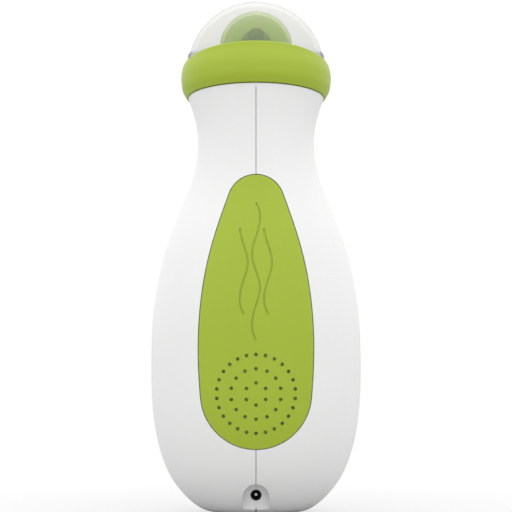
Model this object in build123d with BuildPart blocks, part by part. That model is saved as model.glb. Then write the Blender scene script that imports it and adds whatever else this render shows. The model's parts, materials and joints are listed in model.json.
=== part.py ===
"""Handheld electric nasal aspirator: a skittle-shaped two-part housing with a battery, a motor
and a three-chamber diaphragm pump inside, a drop-shaped vent panel at the rear (+Y), a control
panel at the front (-Y), and on top a collector head under a clear cap.

Millimetres, +Z up, origin at the middle of the base where it rests on a table.
"""
from math import cos, radians, sin, sqrt
import os

from build123d import *

os.makedirs("parts", exist_ok=True)

# ---------------------------------------------------------------- driving dimensions
# Housing stations: height, half width, half depth, centre y, forward tilt in degrees.
STATIONS = [
    (0.4, 18.4, 17.2, 0.0, 0.0),
    (2.6, 23.4, 21.8, 0.0, 0.0),
    (7.5, 28.8, 26.6, 0.0, 0.0),
    (14.0, 33.5, 31.0, 0.0, 0.0),
    (24.0, 37.5, 34.7, 0.0, 0.0),
    (40.0, 40.4, 37.2, 0.0, 0.0),
    (59.0, 41.0, 37.7, 0.0, 0.0),
    (78.0, 40.1, 36.9, 0.1, 0.0),
    (94.0, 37.4, 34.5, 0.4, 0.0),
    (108.0, 33.4, 31.0, 0.9, 0.0),
    (120.0, 28.5, 27.0, 1.4, 0.5),
    (130.0, 24.8, 24.0, 1.7, 2.0),
    (140.0, 22.8, 22.6, 1.6, 4.5),
    (150.0, 23.2, 23.1, 0.7, 8.0),
    (157.0, 24.9, 24.8, -0.6, 10.2),
    (161.5, 26.5, 26.4, -1.74, 11.0),
]
WALL = 2.2                 # housing wall
PANEL = 1.8                # thickness of the front and rear panels, let into the housing
SEAT = 3.4                 # depth of the inner face of the ledge under a panel
LEDGE = 2.4                # width of that ledge
PANEL_GAP = 0.3            # visible gap round each panel
SEAM, SEAM_DEPTH = 0.4, 0.6
PROUD = 0.4                # how far the buttons stand out of the front panel
FOOT = (16.4, 15.2, 1.6)   # rubber foot: half width, half depth, thickness

# Head: the cap, the collar's bore and the collector share one forward-leaning direction.
# Places along that direction count from the centre of the cap's sphere.
HEAD_TILT = 11.0
HEAD_Y, HEAD_Z = -4.0, 173.2
COLLAR_FOOT = -11.6        # collar's lower edge
FLANGE_LOW, FLANGE_TOP = -7.6, -5.5
FLANGE_R = 18.0            # inner edge of the collar's flange
COLLAR_BORE = 27.15
LIP_TILT = 9.0             # the collar's top edge leans this much further than the head
LIP_AT = 0.2               # where that edge's plane meets the head axis
SPIGOT_R, SPIGOT_BORE, SPIGOT_LOW = 24.0, 21.8, -15.0
CAP_R, CAP_BORE = 26.8, 25.2
CAP_BAND_R, CAP_BAND_TOP = 27.0, 4.9
DECK_R, DECK_TOP = 24.3, -3.5
DECK_SCREWS, DECK_HOLE_R = ((-19.4, -8.0), (-19.4, 8.0), (19.4, -8.0), (19.4, 8.0)), 1.15

# Collector: its axis is parallel to the head's, shifted to the rear; its places along that
# axis count from the centre of the bowl's round top.
COLLECTOR_BACK, COLLECTOR_UP = 4.06, 7.77
BOWL_R, BOWL_BORE = 14.3, 12.9
BOWL_FOOT = -8.5
PIPE_R, PIPE_BORE, PIPE_TOP = 3.7, 2.6, 8.1
BASE_FLANGE = (15.2, -11.2, -8.6)
CUP_R, CUP_BORE, CUP_LOW = 8.4, 6.3, -20.0
SPIGOT_END = -17.2
NIPPLE_R, NIPPLE_BORE, NIPPLE_END = 2.0, 1.2, -27.0
NOZZLE_UP = 10.0           # nozzle's angle above the horizon, pointing to the front
NOZZLE_BORE = 1.5

# Rear and front panels: drop outlines given by their end arcs (height, radius) and by points on
# the side (x, height, angle of the outline's outward normal above the horizon).
REAR_DROP = dict(low=(47.6, 21.1), high=(120.4, 10.8), side=((21.95, 64.0, 0), (18.0, 99.5, 11)))
FRONT_DROP = dict(low=(85.0, 17.4), high=(121.5, 9.6), side=((17.3, 92.0, 4), (13.6, 109.5, 13)))
VENT_Z = 47.6
VENT_RINGS = ((15.0, 26), (9.6, 14), (4.2, 6))
VENT_HOLE_R, FELT_R = 0.7, 16.0
POWER_Z, POWER_R = 85.0, 9.2
LEVEL_R = 5.2
PLUS_Z, MINUS_Z = 119.5, 106.0
BUTTON_GAP = 0.25
BUTTON_TRAVEL, BUTTON_UNDER = 0.8, 0.55
LIGHT_RING_R, LIGHT_R = 13.2, 0.9
LIGHT_ANGLES = (210, 240, 270, 300, 330)

# Battery, motor and pump stand one above the other.
CELL_R, CELL_LENGTH, CELL_FOOT = 9.2, 65.0, 13.6
CELL_X, CELL_Y = 9.5, 4.5
MOTOR_R, MOTOR_FOOT, MOTOR_TOP = 12.1, 85.5, 116.3
SHAFT_R, BUSH_R, SHAFT_TOP = 1.0, 2.5, 119.4
SLEEVE = 1.0               # rubber round the motor
PUMP_R = 13.6
CRANK_TILT = 6.0           # tilt of the crank pin, which makes the drive plate nod
NOD_Z = 129.0              # height of the point the drive plate nods about
PUMP_CUPS, CUP_RING, PUMP_CUP_R = 3, 7.6, 3.4
PUMP_SCREW_RING = 11.4
CASE_TOP, HOLDER_TOP, SHEET_TOP, VALVE_TOP, PUMP_TOP = 130.0, 133.5, 134.3, 136.5, 141.0
INLET, OUTLET = (0.0, 4.6), (-7.2, -4.1)
BOARD_FRONT, BOARD = -17.2, 1.6
BOARD_SCREWS = ((-8, 91.5), (8, 91.5), (-8, 106.5), (8, 106.5))
SPINE_Y, SPINE = 14.5, 2.0
SHELL_SCREWS = ((-11, 66), (11, 66), (-11, 100), (11, 100))
PEGS = ((-17, 58), (17, 58), (-7.5, 117), (7.5, 117))
JACK_Z, JACK_WALL_Y, JACK_WALL = 8.0, 21.5, 1.6
JACK_HOLE_R, JACK_BORE_R, JACK_PIN_R, JACK_ROOT_R = 2.15, 1.8, 0.65, 0.45
JACK_BODY, JACK_DEPTH, JACK_PIN_DOWN = (8.0, 6.8, 10.0), 8.6, 0.7
JACK_RECESS_R, JACK_RECESS_Z = 5.1, 7.7
NOTCH, NOTCH_Y = 1.1, 18.0
SCREW_PAD_DEPTH, SCREW_PAD, SCREW_HEAD_DEPTH = 5.5, 2.9, 4.1
PEG_R = 1.2
SPIGOT_TOP = FLANGE_LOW - 0.1
SWITCH = 2.1               # height of a button's switch on the board
LAMP_FRONT = BOARD_FRONT - 1.1
SIGN_DEPTH = 0.3
# Collar's outer side from its lower edge up: radius, place along the head axis.
COLLAR_OUTLINE = (
    (27.1, -11.6), (27.95, -10.3), (28.7, -8.8), (29.25, -6.0), (29.4, -3.5), (29.05, -0.8), (28.4, 2.0),
    (28.05, 5.0), (28.0, 9.0),
)
LIP_ROUND = 0.65
DECK_SEAL_AT = -4.5
PIPE_PORT = 4.0
SPIGOT_RING_AT, BOWL_SEAL_AT = -14.2, -6.9
NOZZLE_ROOT, NOZZLE_TOP, NOZZLE_END = (8.6, 10.4), (3.4, 18.6), 22.0
SHELF_Z, SHELF = 10.1, 1.2
JACK_NOTCH = (8.8, 7.8, 8.0)     # room for the jack in the chassis: width, height, depth
CHASSIS_RINGS = ((89.0, 94.0, MOTOR_R + SLEEVE), (104.0, 109.0, MOTOR_R + SLEEVE), (119.0, 124.0, PUMP_R))
RING = 1.9
TAB = 0.2
HOLDER, HOLDER_WIDTH = 1.9, 41.0
# Parts soldered to the board's front: x, z, width, height, thickness.
COMPONENTS = (
    (-9.5, 99.0, 5.0, 5.0, 0.9), (9.5, 98.5, 4.2, 6.0, 1.2), (-9.8, 84.0, 4.0, 4.0, 1.0),
    (9.8, 84.0, 5.5, 3.6, 2.0), (-4.0, 112.6, 3.0, 1.6, 0.8), (4.4, 112.8, 2.0, 1.2, 0.7),
    (0.0, 96.0, 3.2, 1.8, 0.9), (4.6, 74.5, 2.0, 1.2, 0.7), (-4.6, 74.5, 2.0, 1.2, 0.7),
)
POLES, ROTOR_LOW, ROTOR_HIGH = 3, 93.5, 110.0
MAGNET_LOW, MAGNET, MAGNET_BORE, MAGNET_SPLIT = 92.5, 19.0, 9.5, 7.0
BRUSH_Z = 89.5
SLEEVE_LOW, SLEEVE_LENGTH = 87.8, 23.4
CRANK_R, CRANK_LOW, CRANK_HIGH = 4.6, 117.9, 122.2
CRANK_PIN, CRANK_PIN_R = (-9.0, -4.2), 0.75    # its ends along the tilted direction from the nod point
PLATE, PLATE_ARM = (-6.4, -3.2), 1.6
VALVE_RINGS, VALVE_R, VALVE = (4.4, 8.4), 1.4, 0.5
INLET_TOP, OUTLET_TOP = 146.0, 145.0
TUBE_BEND = 10.0
LEAD_R, LEAD_BEND = 0.6, 2.4
# Routes of the leads on the right; each has a twin on the left.
BATTERY_LEAD = ((13, -2, 80.8), (13, -2, 83.8), (13, -15.6, 83.8))
MOTOR_LEAD = ((6, -6, 85.4), (6, -6, 82.2), (6, -15.6, 82.2))
JACK_LEAD = ((2, 9.7, JACK_Z), (2, -11, JACK_Z), (2, -11, 72.5), (2, -15.6, 72.5))
# Engraved air waves on the rear panel: each line's x, lowest and highest point.
WAVES = ((-4.6, 78.0, 110.5), (0.0, 68.25, 120.25), (4.6, 78.0, 110.5))
WAVE_HEIGHT, WAVE_LENGTH, WAVE_LINE, WAVE_DEPTH = 1.5, 26.0, 0.7, 0.35

# ---------------------------------------------------------------- frames
tilt = radians(HEAD_TILT)
HEAD_DIR, HEAD_BACK = Vector(0, -sin(tilt), cos(tilt)), Vector(0, cos(tilt), sin(tilt))
HEAD_CENTRE = Vector(0, HEAD_Y, HEAD_Z)
BOWL_CENTRE = HEAD_CENTRE + HEAD_BACK * COLLECTOR_BACK + HEAD_DIR * COLLECTOR_UP
NOZZLE_DIR = Vector(0, -cos(radians(NOZZLE_UP)), sin(radians(NOZZLE_UP)))
NOD_DIR = Vector(0, -sin(radians(CRANK_TILT)), cos(radians(CRANK_TILT)))
HEAD = Plane(HEAD_CENTRE, x_dir=(1, 0, 0), z_dir=HEAD_DIR)
BOWL = Plane(BOWL_CENTRE, x_dir=(1, 0, 0), z_dir=HEAD_DIR)
NOZZLE = Plane(BOWL_CENTRE, x_dir=(1, 0, 0), z_dir=NOZZLE_DIR)
NOD = Plane((0, 0, NOD_Z), x_dir=(1, 0, 0), z_dir=NOD_DIR)


def facing_front(y, x=0, z=0):
    """An upright plane with its origin at (x, y, z), whose extrusions come forward."""
    return Plane((x, y, z), x_dir=(1, 0, 0), z_dir=(0, -1, 0))


def facing_rear(y, x=0, z=0):
    """An upright plane with its origin at (x, y, z), whose extrusions go to the rear."""
    return Plane((x, y, z), x_dir=(-1, 0, 0), z_dir=(0, 1, 0))


def on_head(x, back, at):
    """A plane across the head's direction, off its axis by x and back, at a place along it."""
    spot = HEAD.offset(at).from_local_coords((x, back))
    return Plane(spot, x_dir=(1, 0, 0), z_dir=HEAD_DIR)


def section_of(plane):
    """The plane through another plane's axis, to draw (radius, place along the axis) on."""
    return Plane(plane.origin, x_dir=plane.x_dir, z_dir=-plane.y_dir)


def axis_of(plane):
    return Axis(plane.origin, plane.z_dir)


def save(piece, node):
    """Labels a finished piece and writes it as parts/NODE.step."""
    piece.part.label = node
    export_step(piece.part, f"parts/{node}.step")


# ---------------------------------------------------------------- shared forms and features
def housing_form(inset):
    """The housing's outer form, shrunk by inset at right angles to its surface."""
    with BuildPart() as form:
        for i, (z, half_width, half_depth, y, lean) in enumerate(STATIONS):
            below, above = STATIONS[max(i - 1, 0)], STATIONS[min(i + 1, len(STATIONS) - 1)]
            slope = (above[1] - below[1]) / (above[0] - below[0])
            inward = inset / sqrt(1 + slope**2)
            up = (0, -sin(radians(lean)), cos(radians(lean)))
            station = Plane((0, y, z), x_dir=(1, 0, 0), z_dir=up)
            with BuildSketch(station.offset(inward * slope)):
                Ellipse(half_width - inward, half_depth - inward)
        loft()
    return form.part


def surface_y(x, z, side):
    """Where the housing's surface is, near enough, on the rear (side 1) or the front (-1)."""
    for low, high in zip(STATIONS, STATIONS[1:]):
        if low[0] <= z <= high[0]:
            part_way = (z - low[0]) / (high[0] - low[0])
            half_width, half_depth, y = (low[k] + part_way * (high[k] - low[k]) for k in (1, 2, 3))
            return y + side * half_depth * sqrt(1 - (x / half_width) ** 2)


def drop_prism(drop, grow, side):
    """A drop outline, grown by grow, run out from the middle to the rear (1) or front (-1)."""
    low_z, low_r = drop["low"][0], drop["low"][1] + grow
    high_z, high_r = drop["high"][0], drop["high"][1] + grow
    low_end, high_end = radians(-5), radians(20)
    low_point = (low_r * cos(low_end), low_z + low_r * sin(low_end))
    high_point = (high_r * cos(high_end), high_z + high_r * sin(high_end))
    side_points = [
        (x + grow * cos(radians(lean)), z + grow * sin(radians(lean))) for x, z, lean in drop["side"]
    ]
    along = ((-sin(low_end), cos(low_end)), (-sin(high_end), cos(high_end)))
    with BuildPart() as prism:
        with BuildSketch(facing_front(0)):
            with BuildLine():
                flank = Spline(low_point, *side_points, high_point, tangents=along)
                ThreePointArc(high_point, (0, high_z + high_r), (-high_point[0], high_point[1]))
                mirror(flank, about=Plane.YZ)
                ThreePointArc((-low_point[0], low_point[1]), (0, low_z - low_r), low_point)
            make_face()
        extrude(amount=-60 * side)
    return prism.part


def common(*forms):
    """What all the forms share."""
    with BuildPart() as shared:
        add(forms[0])
        for form in forms[1:]:
            add(form, mode=Mode.INTERSECT)
    return shared.part


def layer(outer, inner):
    """What is inside one form and outside another."""
    with BuildPart() as between:
        add(outer)
        add(inner, mode=Mode.SUBTRACT)
    return between.part


def bar(plane, radius, length, bore=0, mode=Mode.ADD):
    """A round bar or tube standing on a plane, added to the part being built."""
    with BuildSketch(plane) as section:
        Circle(radius)
        if bore:
            Circle(bore, mode=Mode.SUBTRACT)
    extrude(section.sketch, amount=length, mode=mode)


def block(plane, width, height, length, mode=Mode.ADD):
    """A rectangular bar standing on a plane, added to the part being built."""
    with BuildSketch(plane) as section:
        Rectangle(width, height)
    extrude(section.sketch, amount=length, mode=mode)


def screw(plane, head_r, head, shank_r, length):
    """A cross-head screw; the plane is the underside of its head, facing the driver."""
    bar(plane, head_r, head)
    bar(plane, shank_r, -length)
    for width, height in ((2.4, 0.5), (0.5, 2.4)):
        block(plane.offset(head), width, height, -0.6, mode=Mode.SUBTRACT)


OUTER = housing_form(0)
PANEL_FLOOR = housing_form(PANEL)
SEAT_FORM = housing_form(SEAT)
SKIN = layer(OUTER, PANEL_FLOOR)
SEAT_LAYER = layer(PANEL_FLOOR, SEAT_FORM)

# ---------------------------------------------------------------- housing shells
with BuildPart() as jack_recess:
    with BuildSketch(facing_rear(JACK_WALL_Y, z=JACK_RECESS_Z)):
        Circle(JACK_RECESS_R)
        Rectangle(2 * JACK_RECESS_R, JACK_RECESS_Z, align=(Align.CENTER, Align.MAX))
    extrude(amount=20)

with BuildPart() as jack_pocket:
    with BuildSketch(facing_rear(JACK_WALL_Y - JACK_WALL, z=JACK_RECESS_Z)):
        Circle(JACK_RECESS_R + JACK_WALL)
        Rectangle(2 * (JACK_RECESS_R + JACK_WALL), JACK_RECESS_Z, align=(Align.CENTER, Align.MAX))
    extrude(amount=20)
    add(OUTER, mode=Mode.INTERSECT)

with BuildPart() as housing:
    add(OUTER)
    add(housing_form(WALL), mode=Mode.SUBTRACT)
    add(jack_pocket.part)
    add(common(SEAT_LAYER, drop_prism(REAR_DROP, LEDGE, 1)))
    add(common(SEAT_LAYER, drop_prism(FRONT_DROP, LEDGE, -1)))
    for x, z in SHELL_SCREWS:
        bar(facing_rear(surface_y(x, z, 1) - SCREW_PAD_DEPTH, x, z), 3.6, SCREW_PAD)
    add(common(SKIN, drop_prism(REAR_DROP, PANEL_GAP, 1)), mode=Mode.SUBTRACT)
    add(common(SKIN, drop_prism(FRONT_DROP, PANEL_GAP, -1)), mode=Mode.SUBTRACT)
    add(drop_prism(FRONT_DROP, -LEDGE, -1), mode=Mode.SUBTRACT)
    add(jack_recess.part, mode=Mode.SUBTRACT)
    bar(facing_rear(0, z=VENT_Z), FELT_R + 0.2, 60, mode=Mode.SUBTRACT)
    bar(facing_rear(0, z=JACK_Z), JACK_HOLE_R, 60, mode=Mode.SUBTRACT)
    jack_width, jack_height, jack_length = (size + 0.2 for size in JACK_BODY)
    jack_room = facing_front(JACK_WALL_Y - JACK_WALL, z=JACK_Z)
    block(jack_room, jack_width, jack_height, jack_length, mode=Mode.SUBTRACT)
    for x, z in PEGS:
        bar(facing_rear(0, x, z), PEG_R + 0.25, 60, mode=Mode.SUBTRACT)
    for x, z in SHELL_SCREWS:
        bar(facing_rear(0, x, z), 1.15, 60, mode=Mode.SUBTRACT)
        bar(facing_rear(surface_y(x, z, 1) - SCREW_HEAD_DEPTH, x, z), 2.3, 6, mode=Mode.SUBTRACT)
    bar(HEAD.offset(SPIGOT_LOW), SPIGOT_R, SPIGOT_TOP - SPIGOT_LOW, bore=SPIGOT_BORE)
    for x, back in DECK_SCREWS:
        bar(on_head(x, back, SPIGOT_LOW), 2.5, SPIGOT_TOP - SPIGOT_LOW)
        bar(on_head(x, back, SPIGOT_LOW), 0.9, SPIGOT_TOP - SPIGOT_LOW, mode=Mode.SUBTRACT)
    with BuildSketch(Plane.XY):
        Ellipse(FOOT[0] + 0.1, FOOT[1] + 0.1)
    extrude(amount=FOOT[2], mode=Mode.SUBTRACT)
    with BuildSketch(facing_rear(NOTCH_Y)):
        with BuildLine():
            Polyline((-NOTCH / 2, 0), (0, 2 * NOTCH), (NOTCH / 2, 0), close=True)
        make_face()
    extrude(amount=6, mode=Mode.SUBTRACT)

with BuildPart() as seam_groove:
    with BuildSketch(Plane.XY):
        Rectangle(SEAM, 100)
    extrude(amount=165)
    add(layer(OUTER, housing_form(SEAM_DEPTH)), mode=Mode.INTERSECT)

for node, side in (("left_shell", -1), ("right_shell", 1)):
    with BuildPart() as shell:
        add(housing.part)
        add(seam_groove.part, mode=Mode.SUBTRACT)
        with BuildSketch(Plane.YZ):
            Rectangle(200, 400)
        extrude(amount=60 * side, mode=Mode.INTERSECT)
    save(shell, node)

with BuildPart() as base_pad:
    with BuildSketch(Plane.XY):
        Ellipse(FOOT[0], FOOT[1])
    extrude(amount=FOOT[2])
    chamfer(base_pad.faces().sort_by(Axis.Z)[0].edges(), 0.3)
save(base_pad, "base_pad")

# ---------------------------------------------------------------- rear panel, felt and screws
with BuildPart() as air_waves:
    for x, low, high in WAVES:
        quarters = round((high - low) / WAVE_LENGTH * 4)
        crests = [
            (x + WAVE_HEIGHT * sin(radians(90 * i)), low + WAVE_LENGTH / 4 * i) for i in range(quarters + 1)
        ]
        with BuildSketch(facing_front(0)):
            with BuildLine():
                Spline(*crests)
            trace(line_width=WAVE_LINE)
        extrude(amount=-60)
    add(layer(OUTER, housing_form(WAVE_DEPTH)), mode=Mode.INTERSECT)

with BuildPart() as rear_panel:
    add(common(SKIN, drop_prism(REAR_DROP, 0, 1)))
    for x, z in PEGS:
        bar(facing_rear(surface_y(x, z, 1) - 5.5, x, z), PEG_R, 4.5)
    with BuildSketch(facing_rear(0, z=VENT_Z)):
        for radius, count in VENT_RINGS:
            with PolarLocations(radius, count, start_angle=90):
                Circle(VENT_HOLE_R)
    extrude(amount=60, mode=Mode.SUBTRACT)
    add(air_waves.part, mode=Mode.SUBTRACT)
save(rear_panel, "rear_panel")

with BuildPart() as vent_felt:
    bar(facing_rear(0, z=VENT_Z), FELT_R, 60)
    add(SEAT_LAYER, mode=Mode.INTERSECT)
save(vent_felt, "vent_felt")

with BuildPart() as shell_screws:
    for x, z in SHELL_SCREWS:
        screw(facing_rear(surface_y(x, z, 1) - SCREW_HEAD_DEPTH, x, z), 2.0, 1.3, 0.95, 9.0)
save(shell_screws, "shell_screws")

# ---------------------------------------------------------------- front panel and buttons
BUTTONS = (
    ("power_button", POWER_Z, POWER_R),
    ("plus_button", PLUS_Z, LEVEL_R),
    ("minus_button", MINUS_Z, LEVEL_R),
)
LIGHTS = [
    (LIGHT_RING_R * cos(radians(angle)), POWER_Z + LIGHT_RING_R * sin(radians(angle)))
    for angle in LIGHT_ANGLES
]

with BuildPart() as front_panel:
    add(common(SKIN, drop_prism(FRONT_DROP, 0, -1)))
    for node, z, radius in BUTTONS:
        bar(facing_front(0, z=z), radius + BUTTON_GAP, 60, mode=Mode.SUBTRACT)
    for x, z in LIGHTS:
        bar(facing_front(0, x, z), LIGHT_R, 60, mode=Mode.SUBTRACT)
save(front_panel, "front_panel")

with BuildPart() as light_guides:
    for x, z in LIGHTS:
        bar(facing_front(LAMP_FRONT, x, z), LIGHT_R, 60)
    add(OUTER, mode=Mode.INTERSECT)
save(light_guides, "light_guides")

BUTTON_FORM = housing_form(-PROUD)
SIGN_FLOOR = housing_form(-PROUD + SIGN_DEPTH)


def power_sign():
    """A ring that is open at its top, with an upright bar in the opening."""
    Circle(3.6)
    Circle(2.8, mode=Mode.SUBTRACT)
    with Locations((0, 3)):
        Rectangle(2.4, 3, mode=Mode.SUBTRACT)
        Rectangle(0.8, 3.6)


def plus_sign():
    Rectangle(4.6, 0.9)
    Rectangle(0.9, 4.6)


def minus_sign():
    Rectangle(4.6, 0.9)


SIGNS = dict(power_button=power_sign, plus_button=plus_sign, minus_button=minus_sign)

for node, z, radius in BUTTONS:
    flange_r = radius + 1.1
    rim = ((flange_r, z), (0, z + flange_r), (0, z - flange_r))
    flange_front = max(surface_y(*point, -1) for point in rim)
    flange_front += PANEL + BUTTON_UNDER
    stem_end = BOARD_FRONT - SWITCH - BUTTON_TRAVEL - 0.1
    with BuildPart() as cap:
        bar(facing_front(flange_front + 0.5, z=z), radius, 60)
        add(BUTTON_FORM, mode=Mode.INTERSECT)
    with BuildPart() as sign:
        with BuildSketch(facing_front(0, z=z)):
            SIGNS[node]()
        extrude(amount=60)
        add(layer(BUTTON_FORM, SIGN_FLOOR), mode=Mode.INTERSECT)
    with BuildPart() as button:
        add(cap.part)
        bar(facing_front(flange_front, z=z), flange_r, -1.0)
        bar(facing_front(flange_front, z=z), radius, 0.6)
        bar(facing_front(stem_end, z=z), 1.6, stem_end - flange_front)
        add(sign.part, mode=Mode.SUBTRACT)
    save(button, node)

# ---------------------------------------------------------------- collar, deck and cap
with BuildPart() as collar_ring:
    with BuildSketch(section_of(HEAD)):
        with BuildLine():
            Polyline(
                COLLAR_OUTLINE[-1], (COLLAR_BORE, COLLAR_OUTLINE[-1][1]), (COLLAR_BORE, FLANGE_TOP),
                (FLANGE_R, FLANGE_TOP), (FLANGE_R, FLANGE_LOW), (SPIGOT_R + 0.2, FLANGE_LOW),
                (SPIGOT_R + 0.2, COLLAR_FOOT), (COLLAR_OUTLINE[0][0] - 0.3, COLLAR_FOOT), COLLAR_OUTLINE[0],
            )
            Spline(*COLLAR_OUTLINE)
        make_face()
    revolve(axis=axis_of(HEAD))
    split(bisect_by=HEAD.offset(LIP_AT).rotated((LIP_TILT, 0, 0)), keep=Keep.BOTTOM)
    lip = collar_ring.faces().filter_by(GeomType.PLANE).sort_by(Axis.Z)[-1]
    fillet(lip.edges().sort_by(SortBy.LENGTH)[-1], LIP_ROUND)
    for x, back in DECK_SCREWS:
        bar(on_head(x, back, FLANGE_LOW), DECK_HOLE_R, FLANGE_TOP - FLANGE_LOW, mode=Mode.SUBTRACT)
save(collar_ring, "collar_ring")

with BuildPart() as head_deck:
    bar(HEAD.offset(FLANGE_TOP), DECK_R, DECK_TOP - FLANGE_TOP)
    bar(BOWL.offset(BASE_FLANGE[1] - 0.1), BASE_FLANGE[0] + 1.4, 1.4, bore=BASE_FLANGE[0] + 0.4)
    bar(BOWL.offset(CUP_LOW), CUP_R, BASE_FLANGE[1] - 0.1 - CUP_LOW)
    bar(BOWL.offset(NIPPLE_END), NIPPLE_R, CUP_LOW - NIPPLE_END)
    bar(BOWL.offset(CUP_LOW + 1.6), CUP_BORE, 20, mode=Mode.SUBTRACT)
    bar(BOWL.offset(NIPPLE_END), NIPPLE_BORE, 20, mode=Mode.SUBTRACT)
    for x, back in DECK_SCREWS:
        bar(on_head(x, back, FLANGE_TOP), DECK_HOLE_R, DECK_TOP - FLANGE_TOP, mode=Mode.SUBTRACT)
    with BuildSketch(section_of(HEAD)):
        with Locations((DECK_R, DECK_SEAL_AT)):
            Rectangle(1.2, 1.2)
    revolve(axis=axis_of(HEAD), mode=Mode.SUBTRACT)
save(head_deck, "head_deck")

with BuildPart() as deck_seal:
    with BuildSketch(section_of(HEAD)):
        with Locations((DECK_R - 0.05, DECK_SEAL_AT)):
            Circle(0.55)
    revolve(axis=axis_of(HEAD))
save(deck_seal, "deck_seal")

with BuildPart() as deck_screws:
    for x, back in DECK_SCREWS:
        screw(on_head(x, back, DECK_TOP), 1.9, 1.2, 0.85, 8.5)
save(deck_screws, "deck_screws")

with BuildPart() as filter_disc:
    bar(BOWL.offset(CUP_LOW + 1.6), CUP_BORE - 0.1, 0.9)
save(filter_disc, "filter_disc")

with BuildPart() as dome_cap:
    with BuildSketch(section_of(HEAD)):
        with BuildLine():
            band_top = (sqrt(CAP_R**2 - CAP_BAND_TOP**2), CAP_BAND_TOP)
            Polyline(
                (CAP_BORE, 0), (CAP_BORE, FLANGE_TOP), (CAP_BAND_R, FLANGE_TOP),
                (CAP_BAND_R, CAP_BAND_TOP), band_top,
            )
            RadiusArc(band_top, (0, CAP_R), -CAP_R)
            Line((0, CAP_R), (0, CAP_BORE))
            RadiusArc((0, CAP_BORE), (CAP_BORE, 0), CAP_BORE)
        make_face()
    revolve(axis=axis_of(HEAD))
save(dome_cap, "dome_cap")

# ---------------------------------------------------------------- collector
with BuildPart() as collector_base:
    bar(BOWL.offset(BASE_FLANGE[1]), BASE_FLANGE[0], BASE_FLANGE[2] - BASE_FLANGE[1])
    bar(BOWL.offset(BASE_FLANGE[2]), BOWL_BORE - 0.2, 3, bore=BOWL_BORE - 1.6)
    bar(BOWL.offset(BASE_FLANGE[2]), PIPE_R, PIPE_TOP - PIPE_R - BASE_FLANGE[2])
    with Locations(BOWL.offset(PIPE_TOP - PIPE_R)):
        Sphere(PIPE_R)
    bar(BOWL.offset(SPIGOT_END), CUP_BORE - 0.4, BASE_FLANGE[1] - SPIGOT_END)
    bar(BOWL.offset(SPIGOT_END), PIPE_BORE, PIPE_TOP - 2.4 - SPIGOT_END, mode=Mode.SUBTRACT)
    port = Plane(BOWL.offset(PIPE_PORT).origin, x_dir=(0, 1, 0), z_dir=(1, 0, 0))
    with BuildSketch(port.offset(-10)):
        SlotOverall(3.6, 2.2, rotation=90 + HEAD_TILT)
    extrude(amount=20, mode=Mode.SUBTRACT)
    with BuildSketch(section_of(BOWL)):
        with Locations((CUP_BORE - 0.4, SPIGOT_RING_AT)):
            Rectangle(2.5, 1.6)
        with Locations((BOWL_BORE - 0.2, BOWL_SEAL_AT)):
            Rectangle(1.8, 1.0)
    revolve(axis=axis_of(BOWL), mode=Mode.SUBTRACT)
save(collector_base, "collector_base")

for node, ring_r, at, thick in (
    ("spigot_ring", CUP_BORE - 0.85, SPIGOT_RING_AT, 0.75),
    ("bowl_seal", BOWL_BORE - 0.6, BOWL_SEAL_AT, 0.45),
):
    with BuildPart() as ring:
        with BuildSketch(section_of(BOWL)):
            with Locations((ring_r, at)):
                Circle(thick)
        revolve(axis=axis_of(BOWL))
    save(ring, node)

with BuildPart() as collector_bowl:
    with BuildSketch(section_of(BOWL)):
        with BuildLine():
            Line((BOWL_R, BOWL_FOOT), (BOWL_R, 0))
            RadiusArc((BOWL_R, 0), (0, BOWL_R), -BOWL_R)
            Line((0, BOWL_R), (0, BOWL_FOOT))
            Line((0, BOWL_FOOT), (BOWL_R, BOWL_FOOT))
        make_face()
    revolve(axis=axis_of(BOWL))
    with BuildSketch(section_of(NOZZLE)):
        with BuildLine():
            Line((0, 8), NOZZLE_ROOT)
            Spline(NOZZLE_ROOT, (5.0, 15.4), NOZZLE_TOP, tangents=((-1, 0.75), (0, 1)))
            Polyline(NOZZLE_TOP, (0, NOZZLE_TOP[1]), (0, 8))
        make_face()
    revolve(axis=axis_of(NOZZLE))
    with BuildSketch(section_of(BOWL)):
        with BuildLine():
            Line((BOWL_BORE, BOWL_FOOT), (BOWL_BORE, 0))
            RadiusArc((BOWL_BORE, 0), (0, BOWL_BORE), -BOWL_BORE)
            Line((0, BOWL_BORE), (0, BOWL_FOOT))
            Line((0, BOWL_FOOT), (BOWL_BORE, BOWL_FOOT))
        make_face()
    revolve(axis=axis_of(BOWL), mode=Mode.SUBTRACT)
    bar(NOZZLE, NOZZLE_BORE, 30, mode=Mode.SUBTRACT)
save(collector_bowl, "collector_bowl")

with BuildPart() as nozzle_tip:
    with BuildSketch(section_of(NOZZLE)):
        with BuildLine():
            Polyline(
                (NOZZLE_BORE, NOZZLE_TOP[1]), (NOZZLE_TOP[0], NOZZLE_TOP[1]),
                (NOZZLE_TOP[0], NOZZLE_TOP[1] + 1.2),
            )
            ThreePointArc(
                (NOZZLE_TOP[0], NOZZLE_TOP[1] + 1.2), (NOZZLE_TOP[0] - 0.6, NOZZLE_END - 0.5),
                (NOZZLE_BORE + 0.6, NOZZLE_END),
            )
            Polyline(
                (NOZZLE_BORE + 0.6, NOZZLE_END),
                (NOZZLE_BORE, NOZZLE_END - 0.6),
                (NOZZLE_BORE, NOZZLE_TOP[1]),
            )
        make_face()
    revolve(axis=axis_of(NOZZLE))
save(nozzle_tip, "nozzle_tip")

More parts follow.
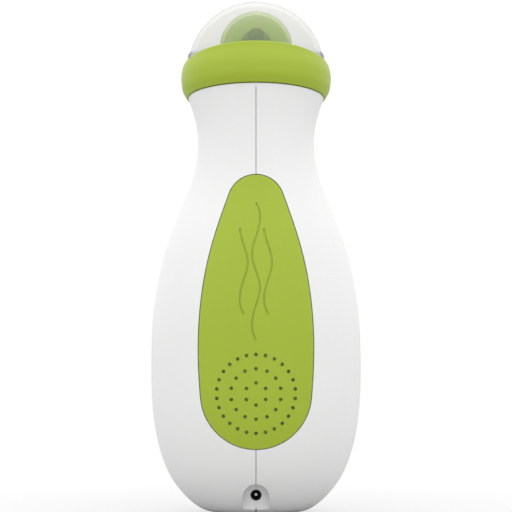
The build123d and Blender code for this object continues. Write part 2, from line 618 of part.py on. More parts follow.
# ---------------------------------------------------------------- chassis
with BuildPart() as chassis:
    with BuildSketch(facing_rear(SPINE_Y)):
        with BuildLine():
            Polyline(
                (-17, SHELF_Z), (17, SHELF_Z), (17, 112), (9.5, 132), (9.5, 140), (-9.5, 140),
                (-9.5, 132), (-17, 112), close=True,
            )
        make_face()
    extrude(amount=SPINE)
    with BuildSketch(Plane.XY.offset(SHELF_Z)):
        with Locations((0, SPINE_Y)):
            Rectangle(34, 20, align=(Align.CENTER, Align.MAX))
    extrude(amount=SHELF)
    block(facing_front(SPINE_Y + SPINE, z=JACK_Z), *JACK_NOTCH, mode=Mode.SUBTRACT)
    for low, high, bore in CHASSIS_RINGS:
        bar(Plane.XY.offset(low), bore + RING, high - low)
        with BuildSketch(Plane.XY.offset(low)):
            Rectangle(18, SPINE_Y + 0.5, align=(Align.CENTER, Align.MIN))
        extrude(amount=high - low)
        bar(Plane.XY.offset(low), bore, high - low, mode=Mode.SUBTRACT)
    for x, z in BOARD_SCREWS:
        bar(facing_front(-12.4, x, z), 2.4, -BOARD_FRONT - BOARD - 12.4)
    for x, z in SHELL_SCREWS:
        bar(facing_rear(SPINE_Y, x, z), 2.8, surface_y(x, z, 1) - SCREW_PAD_DEPTH - 0.1 - SPINE_Y)
        bar(facing_rear(SPINE_Y + 4, x, z), 0.95, 30, mode=Mode.SUBTRACT)
    for x, z in BOARD_SCREWS:
        bar(facing_front(-12.4, x, z), 0.8, 10, mode=Mode.SUBTRACT)
save(chassis, "chassis")

# ---------------------------------------------------------------- battery
CELL_SPOTS = (("battery_cell_left", -CELL_X), ("battery_cell_right", CELL_X))
CELL_TOP = CELL_FOOT + CELL_LENGTH

for node, x in CELL_SPOTS:
    with BuildPart() as cell:
        with BuildSketch(Plane.XY.offset(CELL_FOOT)):
            with Locations((x, CELL_Y)):
                Circle(CELL_R)
        extrude(amount=CELL_LENGTH - 1.2)
        with BuildSketch(Plane.XY.offset(CELL_TOP - 1.2)):
            with Locations((x, CELL_Y)):
                Circle(3.0)
        extrude(amount=1.2)
        fillet(cell.edges().filter_by(GeomType.CIRCLE).group_by(SortBy.LENGTH)[-1], 0.6)
    save(cell, node)

with BuildPart() as battery_tabs:
    for _, x in CELL_SPOTS:
        with BuildSketch(Plane.XY.offset(CELL_FOOT - TAB)):
            with Locations((x, CELL_Y)):
                Rectangle(8, 6)
        extrude(amount=TAB)
    with BuildSketch(Plane.XY.offset(CELL_TOP)):
        with Locations((0, CELL_Y)):
            Rectangle(2 * CELL_X + 7, 6)
    extrude(amount=TAB)
save(battery_tabs, "battery_tabs")

with BuildPart() as battery_holder:
    with BuildSketch(Plane.XY.offset(CELL_FOOT - TAB - HOLDER)):
        with Locations((0, CELL_Y)):
            RectangleRounded(HOLDER_WIDTH, 2 * CELL_R, 3)
    extrude(amount=HOLDER)
    with BuildSketch(Plane.XY.offset(CELL_TOP + TAB)):
        with Locations((0, CELL_Y)):
            RectangleRounded(HOLDER_WIDTH, 2 * CELL_R, 3)
    extrude(amount=HOLDER)
    with BuildSketch(Plane.XY.offset(CELL_FOOT - TAB)):
        with Locations((-HOLDER_WIDTH / 2, CELL_Y), (HOLDER_WIDTH / 2, CELL_Y)):
            Rectangle(3, 9)
        with Locations((-CELL_X, CELL_Y), (CELL_X, CELL_Y)):
            Circle(CELL_R + 0.2, mode=Mode.SUBTRACT)
    extrude(amount=CELL_LENGTH + 2 * TAB)
save(battery_holder, "battery_holder")

# ---------------------------------------------------------------- charging jack
jack_face = facing_front(JACK_WALL_Y - JACK_WALL - 0.05, z=JACK_Z)
with BuildPart() as jack_body:
    block(jack_face, *JACK_BODY)
    bar(jack_face, JACK_BORE_R, JACK_DEPTH, mode=Mode.SUBTRACT)
    bar(jack_face, JACK_ROOT_R, JACK_BODY[2], mode=Mode.SUBTRACT)
save(jack_body, "jack_body")

with BuildPart() as jack_pin:
    bar(jack_face.offset(JACK_PIN_DOWN), JACK_PIN_R, JACK_DEPTH - JACK_PIN_DOWN)
    fillet(jack_pin.edges().sort_by(Axis.Y)[-1], 0.3)
    bar(jack_face.offset(JACK_DEPTH), JACK_ROOT_R, JACK_BODY[2] - JACK_DEPTH)
save(jack_pin, "jack_pin")

# ---------------------------------------------------------------- circuit board
with BuildPart() as main_board:
    with BuildSketch(facing_front(BOARD_FRONT + BOARD)):
        with BuildLine():
            Polyline(
                (-14.5, 69), (14.5, 69), (14.5, 110), (8.5, 121), (8.5, 125), (-8.5, 125),
                (-8.5, 121), (-14.5, 110), close=True,
            )
        make_face()
        with Locations(*BOARD_SCREWS):
            Circle(1.1, mode=Mode.SUBTRACT)
    extrude(amount=BOARD)
save(main_board, "main_board")

with BuildPart() as board_screws:
    for x, z in BOARD_SCREWS:
        screw(facing_front(BOARD_FRONT, x, z), 1.6, 1.0, 0.75, 4.6)
save(board_screws, "board_screws")

with BuildPart() as tact_switches:
    for _, z, _ in BUTTONS:
        block(facing_front(BOARD_FRONT, z=z), 4.5, 4.5, SWITCH - 0.6)
        bar(facing_front(BOARD_FRONT, z=z), 1.1, SWITCH)
save(tact_switches, "tact_switches")

with BuildPart() as status_lights:
    for x, z in LIGHTS:
        block(facing_front(BOARD_FRONT, x, z), 1.6, 1.2, 0.8)
save(status_lights, "status_lights")

with BuildPart() as board_components:
    for x, z, width, height, thick in COMPONENTS:
        block(facing_front(BOARD_FRONT, x, z), width, height, thick)
save(board_components, "board_components")

# ---------------------------------------------------------------- motor
with BuildPart() as motor_can:
    bar(Plane.XY.offset(MOTOR_FOOT + 2), MOTOR_R, MOTOR_TOP - MOTOR_FOOT - 2)
    fillet(motor_can.edges().group_by(Axis.Z)[-1], 1.0)
    bar(Plane.XY.offset(MOTOR_FOOT + 2), MOTOR_R - 0.9, MOTOR_TOP - MOTOR_FOOT - 3, mode=Mode.SUBTRACT)
    bar(Plane.XY.offset(MOTOR_FOOT), BUSH_R, 40, mode=Mode.SUBTRACT)
save(motor_can, "motor_can")

with BuildPart() as motor_end_bell:
    bar(Plane.XY.offset(MOTOR_FOOT), MOTOR_R, 2)
    bar(Plane.XY.offset(MOTOR_FOOT + 2), MOTOR_R - 0.95, 2.5, bore=MOTOR_R - 2.2)
    bar(Plane.XY.offset(MOTOR_FOOT), BUSH_R, 5, mode=Mode.SUBTRACT)
save(motor_end_bell, "motor_end_bell")

with BuildPart() as motor_magnets:
    bar(Plane.XY.offset(MAGNET_LOW), MOTOR_R - 0.95, MAGNET, bore=MAGNET_BORE)
    block(Plane.XY.offset(MAGNET_LOW), 2 * MOTOR_R, MAGNET_SPLIT, MAGNET, mode=Mode.SUBTRACT)
save(motor_magnets, "motor_magnets")

with BuildPart() as motor_brushes:
    for side in (-1, 1):
        block(Plane((side * 3.0, 0, BRUSH_Z), x_dir=(0, 1, 0), z_dir=(side, 0, 0)), 2.0, 2.6, 5)
        block(Plane((side * 8.0, 0, BRUSH_Z), x_dir=(0, 1, 0), z_dir=(side, 0, 0)), 3.2, 1.2, 1.6)
save(motor_brushes, "motor_brushes")

for node, z, length in (("rear_bush", MOTOR_FOOT - 0.8, 3.6), ("front_bush", MOTOR_TOP - 1.4, 2.6)):
    with BuildPart() as bush:
        bar(Plane.XY.offset(z), BUSH_R, length, bore=SHAFT_R + 0.04)
    save(bush, node)

with BuildPart() as motor_sleeve:
    bar(Plane.XY.offset(SLEEVE_LOW), MOTOR_R + SLEEVE, SLEEVE_LENGTH, bore=MOTOR_R)
save(motor_sleeve, "motor_sleeve")

# ---------------------------------------------------------------- rotor
with BuildPart() as motor_shaft:
    bar(Plane.XY.offset(MOTOR_FOOT - 1.2), SHAFT_R, SHAFT_TOP - MOTOR_FOOT + 1.2)
    chamfer(motor_shaft.edges().filter_by(GeomType.CIRCLE), 0.2)
save(motor_shaft, "motor_shaft")

with BuildPart() as rotor_core:
    with BuildSketch(Plane.XY.offset(ROTOR_LOW)):
        Circle(3.2)
        with PolarLocations(0, POLES):
            Rectangle(8.0, 3.0, align=(Align.MIN, Align.CENTER))
        with BuildSketch(mode=Mode.PRIVATE) as pole_shoes:
            Circle(9.0)
            Circle(7.4, mode=Mode.SUBTRACT)
            with PolarLocations(0, POLES):
                with Locations(Rotation(0, 0, 180 / POLES)):
                    Rectangle(10, 1.6, align=(Align.MIN, Align.CENTER), mode=Mode.SUBTRACT)
        add(pole_shoes.sketch)
        Circle(SHAFT_R, mode=Mode.SUBTRACT)
    extrude(amount=ROTOR_HIGH - ROTOR_LOW)
save(rotor_core, "rotor_core")

with BuildPart() as rotor_winding:
    with BuildSketch(Plane.XY.offset(ROTOR_LOW - 1.4)):
        with PolarLocations(5.2, POLES):
            Rectangle(3.2, 4.8)
    extrude(amount=ROTOR_HIGH - ROTOR_LOW + 2.8)
    with BuildSketch(Plane.XY.offset(ROTOR_LOW)):
        with PolarLocations(5.2, POLES):
            Rectangle(4, 3.0)
    extrude(amount=ROTOR_HIGH - ROTOR_LOW, mode=Mode.SUBTRACT)
save(rotor_winding, "rotor_winding")

with BuildPart() as commutator:
    with BuildSketch(Plane.XY.offset(MOTOR_FOOT + 3)):
        Circle(2.9)
        with PolarLocations(2.9, POLES, start_angle=180 / POLES):
            Rectangle(0.6, 0.3, mode=Mode.SUBTRACT)
        Circle(SHAFT_R, mode=Mode.SUBTRACT)
    extrude(amount=3.4)
save(commutator, "commutator")

with BuildPart() as crank_hub:
    bar(Plane.XY.offset(CRANK_LOW), CRANK_R, CRANK_HIGH - CRANK_LOW)
    bar(Plane.XY.offset(CRANK_LOW), SHAFT_R, SHAFT_TOP - CRANK_LOW, mode=Mode.SUBTRACT)
    bar(NOD.offset(CRANK_PIN[0]), CRANK_PIN_R, 8, mode=Mode.SUBTRACT)
save(crank_hub, "crank_hub")

with BuildPart() as crank_pin:
    bar(NOD.offset(CRANK_PIN[0]), CRANK_PIN_R, CRANK_PIN[1] - CRANK_PIN[0])
save(crank_pin, "crank_pin")

# ---------------------------------------------------------------- pump
with BuildPart() as pump_crankcase:
    bar(Plane.XY.offset(MOTOR_TOP), PUMP_R, CASE_TOP - MOTOR_TOP)
    bar(Plane.XY.offset(MOTOR_TOP + 1.4), PUMP_R - 1.4, 20, mode=Mode.SUBTRACT)
    bar(Plane.XY.offset(MOTOR_TOP), 6.4, 5, mode=Mode.SUBTRACT)
    with BuildSketch(Plane.XY.offset(MOTOR_TOP)):
        with PolarLocations(PUMP_SCREW_RING, PUMP_CUPS, start_angle=30):
            Circle(1.7)
    extrude(amount=CASE_TOP - MOTOR_TOP)
    with BuildSketch(Plane.XY.offset(CASE_TOP - 8)):
        with PolarLocations(PUMP_SCREW_RING, PUMP_CUPS, start_angle=30):
            Circle(0.85)
    extrude(amount=8, mode=Mode.SUBTRACT)
save(pump_crankcase, "pump_crankcase")

with BuildPart() as wobble_plate:
    bar(NOD.offset(PLATE[0]), 3.4, PLATE[1] - PLATE[0])
    with BuildSketch(NOD.offset(PLATE[1] - PLATE_ARM)):
        with PolarLocations(0, PUMP_CUPS, start_angle=90):
            Rectangle(CUP_RING, 3.2, align=(Align.MIN, Align.CENTER))
        with PolarLocations(CUP_RING, PUMP_CUPS, start_angle=90):
            Circle(2.3)
    extrude(amount=PLATE_ARM)
    with BuildSketch(NOD.offset(PLATE[1] - PLATE_ARM)):
        with PolarLocations(CUP_RING, PUMP_CUPS, start_angle=90):
            Circle(0.9)
    extrude(amount=PLATE_ARM, mode=Mode.SUBTRACT)
    bar(NOD.offset(PLATE[0]), CRANK_PIN_R + 0.05, CRANK_PIN[1] - PLATE[0] + 0.3, mode=Mode.SUBTRACT)
    bar(NOD.offset(PLATE[1]), 1.0, -PLATE[1])
    with Locations(NOD):
        Sphere(1.3)
save(wobble_plate, "wobble_plate")

with BuildPart() as cup_holder:
    bar(Plane.XY.offset(CASE_TOP), PUMP_R, HOLDER_TOP - CASE_TOP)
    bar(Plane.XY.offset(NOD_Z), 2.6, CASE_TOP - NOD_Z)
    with Locations((0, 0, NOD_Z)):
        Sphere(1.5, mode=Mode.SUBTRACT)
    with BuildSketch(Plane.XY.offset(CASE_TOP)):
        with PolarLocations(CUP_RING, PUMP_CUPS, start_angle=90):
            Circle(PUMP_CUP_R + 0.1)
        with PolarLocations(PUMP_SCREW_RING, PUMP_CUPS, start_angle=30):
            Circle(1.0)
    extrude(amount=HOLDER_TOP - CASE_TOP, mode=Mode.SUBTRACT)
save(cup_holder, "cup_holder")

with BuildPart() as pump_diaphragm:
    bar(Plane.XY.offset(HOLDER_TOP), PUMP_R - 0.8, SHEET_TOP - HOLDER_TOP)
    for radius, low, high in ((PUMP_CUP_R, CASE_TOP + 0.5, HOLDER_TOP), (1.1, 127.6, CASE_TOP + 0.5)):
        with BuildSketch(Plane.XY.offset(low)):
            with PolarLocations(CUP_RING, PUMP_CUPS, start_angle=90):
                Circle(radius)
        extrude(amount=high - low)
    with BuildSketch(Plane.XY.offset(CASE_TOP + 1.3)):
        with PolarLocations(CUP_RING, PUMP_CUPS, start_angle=90):
            Circle(PUMP_CUP_R - 0.7)
    extrude(amount=4, mode=Mode.SUBTRACT)
    with BuildSketch(Plane.XY.offset(HOLDER_TOP)):
        with PolarLocations(PUMP_SCREW_RING, PUMP_CUPS, start_angle=30):
            Circle(1.0)
    extrude(amount=1, mode=Mode.SUBTRACT)
save(pump_diaphragm, "pump_diaphragm")

with BuildPart() as valve_plate:
    bar(Plane.XY.offset(SHEET_TOP), PUMP_R, VALVE_TOP - SHEET_TOP)
    with BuildSketch(Plane.XY.offset(SHEET_TOP)):
        for radius in VALVE_RINGS:
            with PolarLocations(radius, PUMP_CUPS, start_angle=90):
                Circle(0.7)
        with PolarLocations(PUMP_SCREW_RING, PUMP_CUPS, start_angle=30):
            Circle(1.0)
    extrude(amount=3, mode=Mode.SUBTRACT)
    with BuildSketch(Plane.XY.offset(VALVE_TOP - VALVE)):
        for radius in VALVE_RINGS:
            with PolarLocations(radius, PUMP_CUPS, start_angle=90):
                Circle(VALVE_R)
    extrude(amount=VALVE, mode=Mode.SUBTRACT)
save(valve_plate, "valve_plate")

with BuildPart() as check_valves:
    with BuildSketch(Plane.XY.offset(VALVE_TOP - VALVE)):
        for radius in VALVE_RINGS:
            with PolarLocations(radius, PUMP_CUPS, start_angle=90):
                Circle(VALVE_R - 0.1)
    extrude(amount=VALVE)
save(check_valves, "check_valves")

with BuildPart() as pump_head:
    bar(Plane.XY.offset(VALVE_TOP), PUMP_R, PUMP_TOP - VALVE_TOP)
    fillet(pump_head.edges().group_by(Axis.Z)[-1], 0.8)
    bar(Plane.XY.offset(VALVE_TOP), 5.9, 2.6, mode=Mode.SUBTRACT)
    bar(Plane.XY.offset(VALVE_TOP), 9.8, 2.6, bore=6.8, mode=Mode.SUBTRACT)
    for place, top in ((INLET, INLET_TOP), (OUTLET, OUTLET_TOP)):
        spot = Plane((*place, PUMP_TOP))
        bar(spot, NIPPLE_R, top - PUMP_TOP)
        bar(spot.offset(-3), NIPPLE_BORE, 20, mode=Mode.SUBTRACT)
    with BuildSketch(Plane.XY.offset(VALVE_TOP)):
        with PolarLocations(PUMP_SCREW_RING, PUMP_CUPS, start_angle=30):
            Circle(1.0)
    extrude(amount=10, mode=Mode.SUBTRACT)
save(pump_head, "pump_head")

with BuildPart() as pump_screws:
    for i in range(PUMP_CUPS):
        turn = radians(30 + 360 * i / PUMP_CUPS)
        spot = (PUMP_SCREW_RING * cos(turn), PUMP_SCREW_RING * sin(turn), PUMP_TOP)
        screw(Plane(spot), 1.8, 1.2, 0.8, PUMP_TOP - CASE_TOP + 6)
save(pump_screws, "pump_screws")

# ---------------------------------------------------------------- tubes and leads
tube_foot = Vector(*INLET, PUMP_TOP + 0.3)
tube_bend = BOWL_CENTRE + HEAD_DIR * ((tube_foot.Y - BOWL_CENTRE.Y) / HEAD_DIR.Y)
tube_top = BOWL.offset(CUP_LOW - 0.2).origin
with BuildPart() as suction_tube:
    with BuildLine() as tube_path:
        FilletPolyline(tube_foot, tube_bend, tube_top, radius=TUBE_BEND)
    with BuildSketch(Plane(tube_foot)):
        Circle(NIPPLE_R + 1.0)
        Circle(NIPPLE_R, mode=Mode.SUBTRACT)
    sweep(path=tube_path.wires()[0])
save(suction_tube, "suction_tube")

with BuildPart() as exhaust_muffler:
    bar(Plane((*OUTLET, PUMP_TOP + 0.3)), 3.2, 6.0)
    bar(Plane((*OUTLET, PUMP_TOP + 0.3)), NIPPLE_R, OUTLET_TOP - PUMP_TOP - 0.3, mode=Mode.SUBTRACT)
save(exhaust_muffler, "exhaust_muffler")

with BuildPart() as wiring:
    for side in (-1, 1):
        for lead in (BATTERY_LEAD, MOTOR_LEAD, JACK_LEAD):
            route = [Vector(side * x, y, z) for x, y, z in lead]
            with BuildLine() as lead_path:
                FilletPolyline(*route, radius=LEAD_BEND)
            with BuildSketch(Plane(route[0], z_dir=route[1] - route[0])):
                Circle(LEAD_R)
            sweep(path=lead_path.wires()[0])
save(wiring, "wiring")
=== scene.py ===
"""Looks of the handheld nasal aspirator: materials for every piece, finer meshes for the clear cap
and the rubber foot, and a plain pale studio. Metres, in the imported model's own frame."""
import json
from math import asin, cos, pi, radians, sin

import bmesh
import bpy
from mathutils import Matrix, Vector


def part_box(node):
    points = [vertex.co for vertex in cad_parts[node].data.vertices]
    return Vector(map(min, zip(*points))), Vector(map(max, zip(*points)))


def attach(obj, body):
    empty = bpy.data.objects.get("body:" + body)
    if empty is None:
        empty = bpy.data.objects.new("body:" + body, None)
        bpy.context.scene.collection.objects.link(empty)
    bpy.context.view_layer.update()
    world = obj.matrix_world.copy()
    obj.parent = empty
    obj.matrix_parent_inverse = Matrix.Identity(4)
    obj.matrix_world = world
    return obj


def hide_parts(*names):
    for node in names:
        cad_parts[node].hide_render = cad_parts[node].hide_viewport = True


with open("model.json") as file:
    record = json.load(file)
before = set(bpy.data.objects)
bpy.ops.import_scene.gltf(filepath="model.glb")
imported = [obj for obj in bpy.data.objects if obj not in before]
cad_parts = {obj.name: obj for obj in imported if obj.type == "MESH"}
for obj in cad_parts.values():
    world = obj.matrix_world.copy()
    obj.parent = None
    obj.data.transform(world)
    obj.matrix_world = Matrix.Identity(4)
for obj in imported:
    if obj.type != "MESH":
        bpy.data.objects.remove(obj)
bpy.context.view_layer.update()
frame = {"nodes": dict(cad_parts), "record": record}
MM = 0.001

# ---------------------------------------------------------------- sizes shared by several pieces
BASE_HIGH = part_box("base_pad")[1]
CAP_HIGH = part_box("dome_cap")[1]
HEAD_TILT = radians(11)
HEAD_DIR = Vector((0, -sin(HEAD_TILT), cos(HEAD_TILT)))
CAP_R = 26.8 * MM
HEAD_Y = -4.0 * MM
HEAD_CENTRE = Vector((0, HEAD_Y, CAP_HIGH.z - CAP_R))

# ---------------------------------------------------------------- materials
WHITE = (0.82, 0.82, 0.815)
GREEN = (0.345, 0.458, 0.022)
PLASTIC_IOR = 1.49


def node_material(name):
    """A new material, its node tree and its shader, joined to the output."""
    material = bpy.data.materials.new(name)
    material.use_nodes = True
    tree = material.node_tree
    tree.nodes.clear()
    output = tree.nodes.new("ShaderNodeOutputMaterial")
    shader = tree.nodes.new("ShaderNodeBsdfPrincipled")
    tree.links.new(shader.outputs["BSDF"], output.inputs["Surface"])
    return material, tree, shader


def output_of(tree):
    """The material's output node."""
    return next(node for node in tree.nodes if node.type == "OUTPUT_MATERIAL")


def noise(tree, scale, detail=4.0, stretch=(1, 1, 1), roughness=0.55):
    """Noise in the piece's own coordinates; scale counts its features in a metre."""
    place = tree.nodes.new("ShaderNodeTexCoord")
    mapping = tree.nodes.new("ShaderNodeMapping")
    mapping.inputs["Scale"].default_value = stretch
    texture = tree.nodes.new("ShaderNodeTexNoise")
    texture.inputs["Scale"].default_value = scale
    texture.inputs["Detail"].default_value = detail
    texture.inputs["Roughness"].default_value = roughness
    tree.links.new(place.outputs["Object"], mapping.inputs["Vector"])
    tree.links.new(mapping.outputs["Vector"], texture.inputs["Vector"])
    return texture.outputs["Fac"]


def spread(tree, value, low, high, start=0.3, end=0.7):
    """Maps a value between start and end to the range from low to high."""
    mapped = tree.nodes.new("ShaderNodeMapRange")
    mapped.inputs["From Min"].default_value = start
    mapped.inputs["From Max"].default_value = end
    mapped.inputs["To Min"].default_value = low
    mapped.inputs["To Max"].default_value = high
    tree.links.new(value, mapped.inputs["Value"])
    return mapped.outputs["Result"]


def ramp(tree, value, stops):
    """A colour ramp through (place, colour) stops."""
    colours = tree.nodes.new("ShaderNodeValToRGB")
    elements = colours.color_ramp.elements
    while len(elements) < len(stops):
        elements.new(0.5)
    for element, (place, colour) in zip(elements, stops):
        element.position = place
        element.color = (*colour, 1)
    tree.links.new(value, colours.inputs["Fac"])
    return colours.outputs["Color"]


def shade(colour, factor):
    """The colour made darker or lighter, kept within range."""
    return tuple(min(1.0, c * factor) for c in colour)


def bump(tree, shader, heights, edge=0.0):
    """Chains (height, distance, strength) bumps into the shader's normal, over softened edges."""
    previous = None
    if edge:
        soft_edge = tree.nodes.new("ShaderNodeBevel")
        soft_edge.samples = 4
        soft_edge.inputs["Radius"].default_value = edge
        previous = soft_edge.outputs["Normal"]
    for height, distance, strength in heights:
        node = tree.nodes.new("ShaderNodeBump")
        node.inputs["Distance"].default_value = distance
        node.inputs["Strength"].default_value = strength
        tree.links.new(height, node.inputs["Height"])
        if previous:
            tree.links.new(previous, node.inputs["Normal"])
        previous = node.outputs["Normal"]
    tree.links.new(previous, shader.inputs["Normal"])


def moulded_plastic(name, colour, roughness, grain=0.25, mottle=0.02, edge=0.25, coat=0.0, soft=0.0):
    """Injection-moulded plastic: fine spark-eroded grain, faint flow marks and handling scuffs."""
    material, tree, shader = node_material(name)
    flow = noise(tree, 45, detail=3, stretch=(1, 1, 0.35))
    stops = ((0.32, shade(colour, 1 - mottle)), (0.68, shade(colour, 1 + mottle)))
    tree.links.new(ramp(tree, flow, stops), shader.inputs["Base Color"])
    scuffs = noise(tree, 900, detail=6, stretch=(1, 1, 0.2), roughness=0.7)
    rough = spread(tree, scuffs, roughness - 0.05, roughness + 0.09)
    tree.links.new(rough, shader.inputs["Roughness"])
    fine = noise(tree, 5200, detail=2)
    wide = noise(tree, 130, detail=2)
    wide_depth, fine_depth = 0.00006, 0.00001
    bump(tree, shader, ((wide, wide_depth, 0.12), (fine, fine_depth, grain)), edge=edge * MM)
    shader.inputs["IOR"].default_value = PLASTIC_IOR
    shader.inputs["Coat Weight"].default_value = coat
    shader.inputs["Coat Roughness"].default_value = 0.12
    if soft:
        shader.inputs["Subsurface Weight"].default_value = soft
        shader.inputs["Subsurface Radius"].default_value = (1.0, 0.9, 0.8)
        shader.inputs["Subsurface Scale"].default_value = 0.002
    return material


def clear_plastic(name, colour, roughness, mist, depth_colour, density, clearness=1.0):
    """Clear or tinted moulded plastic: faint haze and hairline marks, darker where it is thick."""
    material, tree, shader = node_material(name)
    haze = noise(tree, 60, detail=3)
    stops = ((0.3, shade(colour, 0.985)), (0.7, shade(colour, 1.0)))
    tree.links.new(ramp(tree, haze, stops), shader.inputs["Base Color"])
    marks = noise(tree, 350, detail=3)
    tree.links.new(spread(tree, marks, roughness, roughness + mist), shader.inputs["Roughness"])
    bump(tree, shader, ((noise(tree, 60, detail=1), 0.00002, 0.04),))
    shader.inputs["Transmission Weight"].default_value = clearness
    shader.inputs["IOR"].default_value = PLASTIC_IOR
    depth = tree.nodes.new("ShaderNodeVolumeAbsorption")
    depth.inputs["Color"].default_value = (*depth_colour, 1)
    depth.inputs["Density"].default_value = density
    tree.links.new(depth.outputs["Volume"], output_of(tree).inputs["Volume"])
    return material


def metal(name, colour, roughness, brushed=(1, 1, 12)):
    """Plated or turned metal with fine machining lines and dull patches."""
    material, tree, shader = node_material(name)
    lines = noise(tree, 2500, detail=3, stretch=brushed)
    patches = noise(tree, 220, detail=4)
    stops = ((0.3, shade(colour, 0.8)), (0.7, shade(colour, 1.05)))
    tree.links.new(ramp(tree, patches, stops), shader.inputs["Base Color"])
    tree.links.new(spread(tree, lines, roughness - 0.06, roughness + 0.12), shader.inputs["Roughness"])
    bump(tree, shader, ((lines, 0.000008, 0.3),), edge=0.1 * MM)
    shader.inputs["Metallic"].default_value = 1.0
    return material


def felted(name, colour):
    """Filter felt: matted fibres with a soft nap."""
    material, tree, shader = node_material(name)
    fibres = noise(tree, 3800, detail=6, stretch=(1, 1, 0.4), roughness=0.75)
    stops = ((0.35, shade(colour, 0.6)), (0.7, shade(colour, 1.3)))
    tree.links.new(ramp(tree, fibres, stops), shader.inputs["Base Color"])
    tree.links.new(spread(tree, fibres, 0.85, 1.0), shader.inputs["Roughness"])
    bump(tree, shader, ((fibres, 0.00012, 0.8),))
    shader.inputs["Sheen Weight"].default_value = 0.3
    return material


MATERIALS = {
    "white_shell": moulded_plastic("white_shell", WHITE, 0.36, mottle=0.008, edge=0.2, coat=0.15),
    "green_plastic": moulded_plastic("green_plastic", GREEN, 0.38, mottle=0.015, edge=0.25),
    "button_plastic": moulded_plastic("button_plastic", (0.78, 0.78, 0.77), 0.40, edge=0.3),
    "clear_plastic": clear_plastic("clear_plastic", (0.97, 0.97, 0.96), 0.0, 0.02, (0.5, 0.5, 0.46), 140),
    "green_clear": clear_plastic("green_clear", (0.70, 0.84, 0.34), 0.0, 0.02, (0.8, 0.9, 0.5), 25, 0.85),
    "white_silicone": moulded_plastic("white_silicone", (0.74, 0.74, 0.72), 0.55, grain=0.4, soft=0.3),
    "dark_rubber": moulded_plastic("dark_rubber", (0.03, 0.03, 0.03), 0.7, grain=0.6),
    "grey_nylon": moulded_plastic("grey_nylon", (0.20, 0.21, 0.22), 0.55, grain=0.5, mottle=0.06),
    "black_nylon": moulded_plastic("black_nylon", (0.022, 0.022, 0.023), 0.42, grain=0.4, edge=0.15),
    "steel": metal("steel", (0.62, 0.62, 0.62), 0.3),
    "nickel": metal("nickel", (0.78, 0.76, 0.72), 0.2),
    "copper": metal("copper", (0.85, 0.42, 0.20), 0.3, brushed=(1, 1, 40)),
    "bronze": metal("bronze", (0.60, 0.42, 0.20), 0.42, brushed=(1, 1, 1)),
    "magnet_grey": moulded_plastic("magnet_grey", (0.05, 0.05, 0.052), 0.6, grain=0.7),
    "cell_wrap": moulded_plastic("cell_wrap", (0.04, 0.16, 0.28), 0.25, grain=0.1, coat=0.3),
    "board_green": moulded_plastic("board_green", (0.02, 0.16, 0.06), 0.3, grain=0.3, mottle=0.08),
    "felt": felted("felt", (0.60, 0.72, 0.28)),
    "lamp": moulded_plastic("lamp", (0.80, 0.84, 0.76), 0.2, grain=0.1, edge=0.1, soft=0.4),
    "wire_red": moulded_plastic("wire_red", (0.42, 0.02, 0.015), 0.45, grain=0.2),
}

slot_of = {part["node"]: part["material_slot"] for part in frame["record"]["subparts"]}
for node, shown in frame["nodes"].items():
    shown.data.materials.clear()
    shown.data.materials.append(MATERIALS[slot_of[node]])

# ---------------------------------------------------------------- finer meshes
def finished(mesh, name, body, slot, *nodes, sharp=radians(35)):
    """Makes a mesh a smooth-shaded piece that stands for CAD nodes, with creases where it turns sharply."""
    for edge in mesh.edges:
        if len(edge.link_faces) == 2:
            edge.smooth = edge.calc_face_angle() < sharp
    for face in mesh.faces:
        face.smooth = True
    data = bpy.data.meshes.new(name)
    mesh.to_mesh(data)
    mesh.free()
    piece = bpy.data.objects.new(name, data)
    bpy.context.scene.collection.objects.link(piece)
    data.materials.append(MATERIALS[slot])
    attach(piece, body)
    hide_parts(*nodes)
    return piece


def arc(centre, radius, start, end, steps):
    """Points (radius, place along the axis) on an arc; angles count from the outward direction."""
    angles = [start + (end - start) * i / steps for i in range(steps + 1)]
    return [(centre[0] + radius * cos(a), centre[1] + radius * sin(a)) for a in angles]


def lathed(profile, origin, direction, sideways, segments=192):
    """A closed form turned about an axis from a closed profile of (radius, place) points."""
    mesh = bmesh.new()
    across = direction.cross(sideways)
    rings = []
    for i in range(segments):
        turn = 2 * pi * i / segments
        out = sideways * cos(turn) + across * sin(turn)
        rings.append([mesh.verts.new(origin + out * radius + direction * at) for radius, at in profile])
    for ring, after in zip(rings, rings[1:] + rings[:1]):
        for j in range(len(profile)):
            k = (j + 1) % len(profile)
            mesh.faces.new((ring[j], after[j], after[k], ring[k]))
    bmesh.ops.remove_doubles(mesh, verts=mesh.verts, dist=1e-6)
    bmesh.ops.recalc_face_normals(mesh, faces=mesh.faces)
    return mesh


def clear_cap():
    """The clear cap: a thin dome with a rounded rim and a slightly prouder band round its foot."""
    bore, band = 25.2 * MM, 27.0 * MM
    foot, band_top = -5.5 * MM, 4.9 * MM
    rim, band_edge = 0.45 * MM, 0.12 * MM
    band_angle = asin(band_top / CAP_R)
    profile = arc((0, 0), CAP_R, band_angle, pi / 2, 48)
    profile += arc((0, 0), bore, pi / 2, 0, 48)
    profile += arc((bore + rim, foot + rim), rim, pi, 1.5 * pi, 6)
    profile += arc((band - rim, foot + rim), rim, -pi / 2, 0, 6)
    profile += arc((band - band_edge, band_top - band_edge), band_edge, 0, pi / 2, 4)
    mesh = lathed(profile, HEAD_CENTRE, HEAD_DIR, Vector((1, 0, 0)))
    finished(mesh, "clear_cap", "cap", "clear_plastic", "dome_cap")


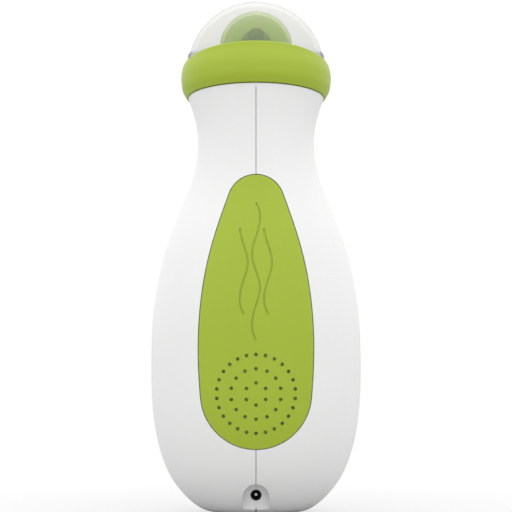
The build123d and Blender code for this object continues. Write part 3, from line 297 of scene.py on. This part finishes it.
def rubber_foot():
    """The oval rubber foot, with rounded edges and three fine anti-slip grooves under it."""
    half_width, half_depth, height = BASE_HIGH.x, BASE_HIGH.y, BASE_HIGH.z
    bevel, edge = 0.2 * MM, 0.5 * MM
    mouth, bottom, depth = 0.5 * MM, 0.3 * MM, 0.35 * MM
    profile = [(0, height), (half_width - bevel, height), (half_width, height - bevel)]
    profile += arc((half_width - edge, edge), edge, 0, -pi / 2, 6)
    for radius in (13 * MM, 10 * MM, 7 * MM):
        profile += [(radius + mouth, 0), (radius + bottom, depth)]
        profile += [(radius - bottom, depth), (radius - mouth, 0)]
    profile.append((0, 0))
    mesh = lathed(profile, Vector((0, 0, 0)), Vector((0, 0, 1)), Vector((1, 0, 0)))
    for vertex in mesh.verts:
        vertex.co.y *= half_depth / half_width
    finished(mesh, "rubber_foot", "housing", "white_silicone", "base_pad")


clear_cap()
rubber_foot()

# ---------------------------------------------------------------- studio
def studio_floor():
    """A wide pale floor that fades, where it is seen, into the white surround, so no horizon shows."""
    reach, drop = 12, 0.0002
    bpy.ops.mesh.primitive_circle_add(vertices=96, radius=reach, fill_type="NGON", location=(0, 0, -drop))
    floor = bpy.context.object
    floor.name = "studio_floor"
    material, tree, shader = node_material("studio_floor")
    shader.inputs["Roughness"].default_value = 0.85
    shader.inputs["Specular IOR Level"].default_value = 0.2
    place = tree.nodes.new("ShaderNodeTexCoord")
    distance = tree.nodes.new("ShaderNodeVectorMath")
    distance.operation = "LENGTH"
    tree.links.new(place.outputs["Object"], distance.inputs[0])
    fade = spread(tree, distance.outputs["Value"], 0, 1, start=-0.3, end=0.15)
    grain = ramp(tree, noise(tree, 30), ((0.3, (0.48, 0.48, 0.48)), (0.7, (0.50, 0.50, 0.50))))
    tree.links.new(grain, shader.inputs["Base Color"])
    glow = tree.nodes.new("ShaderNodeEmission")
    glow.inputs["Strength"].default_value = 1.0
    glow.inputs["Color"].default_value = (1, 1, 1, 1)
    seen = tree.nodes.new("ShaderNodeLightPath")
    share = tree.nodes.new("ShaderNodeMath")
    share.operation = "MULTIPLY"
    tree.links.new(fade, share.inputs[0])
    tree.links.new(seen.outputs["Is Camera Ray"], share.inputs[1])
    mix = tree.nodes.new("ShaderNodeMixShader")
    tree.links.new(share.outputs["Value"], mix.inputs["Fac"])
    tree.links.new(shader.outputs["BSDF"], mix.inputs[1])
    tree.links.new(glow.outputs["Emission"], mix.inputs[2])
    tree.links.new(mix.outputs["Shader"], output_of(tree).inputs["Surface"])
    floor.data.materials.append(material)


def studio_light():
    """Even light from all over the sky, brighter overhead."""
    world = bpy.data.worlds.new("studio")
    bpy.context.scene.world = world
    world.use_nodes = True
    tree = world.node_tree
    background = tree.nodes["Background"]
    place = tree.nodes.new("ShaderNodeTexCoord")
    parts = tree.nodes.new("ShaderNodeSeparateXYZ")
    tree.links.new(place.outputs["Generated"], parts.inputs["Vector"])
    level = spread(tree, parts.outputs["Z"], 1.0, 1.62, start=0.0, end=1.0)
    tree.links.new(level, background.inputs["Strength"])
    background.inputs["Color"].default_value = (1, 1, 1, 1)


def camera():
    """Straight behind the object, level with its middle, with the object just filling the height."""
    sensor, distance, margin = 36, 1.2, 1.003
    data = bpy.data.cameras.new("camera")
    view = bpy.data.objects.new("camera", data)
    bpy.context.scene.collection.objects.link(view)
    view.location = (0, distance, CAP_HIGH.z / 2)
    view.rotation_euler = (radians(90), 0, radians(180))
    data.sensor_width = sensor
    data.lens = sensor * distance / (CAP_HIGH.z * margin)
    bpy.context.scene.camera = view


studio_floor()
studio_light()
camera()
bpy.context.scene.view_settings.view_transform = "Standard"

# A straight line through the cap and the bowl meets eight clear faces, and more in the nozzle's root.
bpy.context.scene.cycles.max_bounces = 24
bpy.context.scene.cycles.transmission_bounces = 24
